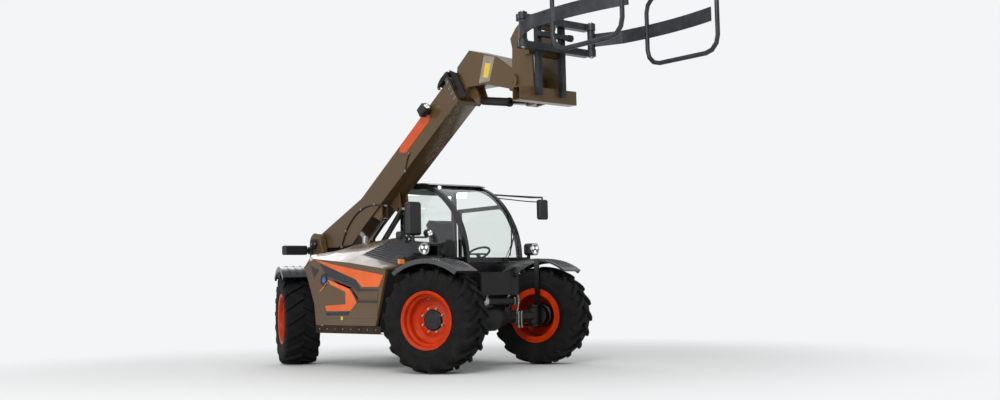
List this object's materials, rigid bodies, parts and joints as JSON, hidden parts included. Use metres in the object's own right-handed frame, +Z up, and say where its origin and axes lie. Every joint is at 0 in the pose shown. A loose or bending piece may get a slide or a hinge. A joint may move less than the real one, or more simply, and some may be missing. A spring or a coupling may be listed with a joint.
{
  "type": "telehandler with bale clamp",
  "caption": "Four-wheel telehandler with a side cab, raised telescopic boom and a two-arm round-bale clamp.",
  "frame": {"origin": "on the ground, on the centre plane, midway between the axles", "axes": "+X forward, +Y to the left, +Z up"},
  "size_m": [6.8734, 2.7285, 4.1642],
  "materials": {
    "body_paint": "metallic grey-brown",
    "boom_paint": "metallic grey-brown",
    "chassis_paint": "satin black",
    "cab_paint": "gloss black",
    "clamp_paint": "satin dark grey",
    "rim_paint": "gloss red-orange",
    "tyre_rubber": "matt",
    "fender_plastic": "gloss black",
    "black_plastic": "matt",
    "lamp_lens": "clear",
    "cab_glazing": "clear",
    "chromed_rod": "polished",
    "engine_iron": "rough",
    "exhaust_steel": "brushed",
    "seat_fabric": "woven"
  },
  "bodies": {
    "machine": {"chassis_frame": "chassis_paint", "boom_tower": "body_paint", "tow_hitch": "chassis_paint", "engine_bay": "chassis_paint", "engine_block": "engine_iron", "exhaust": "exhaust_steel", "tank_and_steps": "black_plastic", "mirrors": "black_plastic", "headlamps": "lamp_lens", "rear_lamp_bar": "black_plastic", "front_axle": "chassis_paint", "rear_axle": "chassis_paint", "cab_frame": "cab_paint", "cab_base": "cab_paint", "cab_roof": "cab_paint", "cab_glass": "cab_glazing", "dashboard": "black_plastic", "steering_wheel": "black_plastic", "seat_cushion": "seat_fabric", "seat_back": "seat_fabric"},
    "boom": {"outer_boom": "boom_paint", "boom_lamp": "lamp_lens"},
    "boom_inner": {"inner_boom": "boom_paint"},
    "carriage_body": {"carriage": "boom_paint", "clamp_frame": "clamp_paint"},
    "clamp_arm_r": {"clamp_arm_right": "clamp_paint"},
    "clamp_arm_l": {"clamp_arm_left": "clamp_paint"},
    "lift_barrel_body": {"lift_barrel": "chassis_paint"},
    "lift_rod_body": {"lift_rod": "chromed_rod"},
    "level_barrel_body": {"level_barrel": "chassis_paint"},
    "level_rod_body": {"level_rod": "chromed_rod"},
    "tilt_barrel_body": {"tilt_barrel": "chassis_paint"},
    "tilt_rod_body": {"tilt_rod": "chromed_rod"},
    "upright_front_left": {"knuckle_front_left": "chassis_paint", "fender_front_left": "fender_plastic"},
    "wheel_front_left": {"rim_front_left": "rim_paint", "tyre_front_left": "tyre_rubber"},
    "upright_front_right": {"knuckle_front_right": "chassis_paint", "fender_front_right": "fender_plastic"},
    "wheel_front_right": {"rim_front_right": "rim_paint", "tyre_front_right": "tyre_rubber"},
    "upright_rear_left": {"knuckle_rear_left": "chassis_paint", "fender_rear_left": "fender_plastic"},
    "wheel_rear_left": {"rim_rear_left": "rim_paint", "tyre_rear_left": "tyre_rubber"},
    "upright_rear_right": {"knuckle_rear_right": "chassis_paint", "fender_rear_right": "fender_plastic"},
    "wheel_rear_right": {"rim_rear_right": "rim_paint", "tyre_rear_right": "tyre_rubber"},
    "door_body": {"cab_door": "cab_paint", "door_glass": "cab_glazing"},
    "hood_body": {"engine_hood": "body_paint"}
  },
  "joints": [
    {"name": "boom_lift", "type": "hinge", "parent": "machine", "child": "boom", "pos_m": [-2.05, -0.04, 1.62], "axis": [0, -1, 0], "range_deg": [-36, 28]},
    {"name": "boom_extend", "type": "slide", "parent": "boom", "child": "boom_inner", "axis": [0.829, 0, 0.5592], "range_m": [0, 2.1]},
    {"name": "carriage_tilt", "type": "hinge", "parent": "boom_inner", "child": "carriage_body", "pos_m": [2.2394, -0.04, 3.29013], "axis": [0, -1, 0], "range_deg": [-73, 50]},
    {"name": "clamp_right", "type": "hinge", "parent": "carriage_body", "child": "clamp_arm_r", "pos_m": [2.7594, -0.56, 3.76013], "axis": [0, 0, -1], "range_deg": [-12, 40]},
    {"name": "clamp_left", "type": "hinge", "parent": "carriage_body", "child": "clamp_arm_l", "pos_m": [2.7594, 0.48, 3.76013], "axis": [0, 0, 1], "range_deg": [-12, 40]},
    {"name": "lift_barrel_turn", "type": "hinge", "parent": "machine", "child": "lift_barrel_body", "pos_m": [-1.75, 0.025, 0.8], "axis": [0, -1, 0], "range_deg": [-32, 25]},
    {"name": "lift_rod_slide", "type": "slide", "parent": "lift_barrel_body", "child": "lift_rod_body", "axis": [0.7499, 0, 0.6615], "range_m": [-0.55, 0.43]},
    {"name": "level_barrel_turn", "type": "hinge", "parent": "machine", "child": "level_barrel_body", "pos_m": [-1.8, -0.125, 1.01], "axis": [0, -1, 0], "range_deg": [-34, 27]},
    {"name": "level_rod_slide", "type": "slide", "parent": "level_barrel_body", "child": "level_rod_body", "axis": [0.8036, 0, 0.5952], "range_m": [-0.41, 0.32]},
    {"name": "tilt_barrel_turn", "type": "hinge", "parent": "boom_inner", "child": "tilt_barrel_body", "pos_m": [1.4, -0.04, 3.2], "axis": [0, -1, 0], "range_deg": [-2, 2]},
    {"name": "tilt_rod_slide", "type": "slide", "parent": "tilt_barrel_body", "child": "tilt_rod_body", "axis": [0.9864, 0, -0.1644], "range_m": [-0.26, 0.18]},
    {"name": "steer_front_left", "type": "hinge", "parent": "machine", "child": "upright_front_left", "pos_m": [1.435, 0.66, 0.6], "axis": [0, 0, 1], "range_deg": [-57, 13]},
    {"name": "spin_front_left", "type": "hinge", "parent": "upright_front_left", "child": "wheel_front_left", "pos_m": [1.3376, 0.90107, 0.6], "axis": [-0.3746, 0.9272, 0], "continuous": true},
    {"name": "steer_front_right", "type": "hinge", "parent": "machine", "child": "upright_front_right", "pos_m": [1.435, -0.66, 0.6], "axis": [0, 0, 1], "range_deg": [-57, 13]},
    {"name": "spin_front_right", "type": "hinge", "parent": "upright_front_right", "child": "wheel_front_right", "pos_m": [1.5324, -0.90107, 0.6], "axis": [-0.3746, 0.9272, 0], "continuous": true},
    {"name": "steer_rear_left", "type": "hinge", "parent": "machine", "child": "upright_rear_left", "pos_m": [-1.435, 0.66, 0.6], "axis": [0, 0, 1], "range_deg": [-13, 57]},
    {"name": "spin_rear_left", "type": "hinge", "parent": "upright_rear_left", "child": "wheel_rear_left", "pos_m": [-1.3376, 0.90107, 0.6], "axis": [0.3746, 0.9272, 0], "continuous": true},
    {"name": "steer_rear_right", "type": "hinge", "parent": "machine", "child": "upright_rear_right", "pos_m": [-1.435, -0.66, 0.6], "axis": [0, 0, 1], "range_deg": [-13, 57]},
    {"name": "spin_rear_right", "type": "hinge", "parent": "upright_rear_right", "child": "wheel_rear_right", "pos_m": [-1.5324, -0.90107, 0.6], "axis": [0.3746, 0.9272, 0], "continuous": true},
    {"name": "door_swing", "type": "hinge", "parent": "machine", "child": "door_body", "pos_m": [-0.577, 1.083, 1.45], "axis": [0, 0, 1], "range_deg": [0, 90]},
    {"name": "hood_lift", "type": "hinge", "parent": "machine", "child": "hood_body", "pos_m": [0, -0.454, 1.602], "axis": [-1, 0, 0], "range_deg": [0, 50]}
  ],
  "couplings": [
    {"joint": "lift_barrel_turn", "follows": "boom_lift", "ratio": 0.84},
    {"joint": "lift_rod_slide", "follows": "boom_lift", "m_per_rad": 0.8594},
    {"joint": "level_barrel_turn", "follows": "boom_lift", "ratio": 0.9},
    {"joint": "level_rod_slide", "follows": "boom_lift", "m_per_rad": 0.6303},
    {"joint": "tilt_barrel_turn", "follows": "carriage_tilt", "ratio": 0.02},
    {"joint": "tilt_rod_slide", "follows": "carriage_tilt", "m_per_rad": 0.1948},
    {"joint": "clamp_left", "follows": "clamp_right", "ratio": 1},
    {"joint": "steer_front_left", "follows": "steer_front_right", "ratio": 1},
    {"joint": "steer_rear_left", "follows": "steer_rear_right", "ratio": 1}
  ]
}
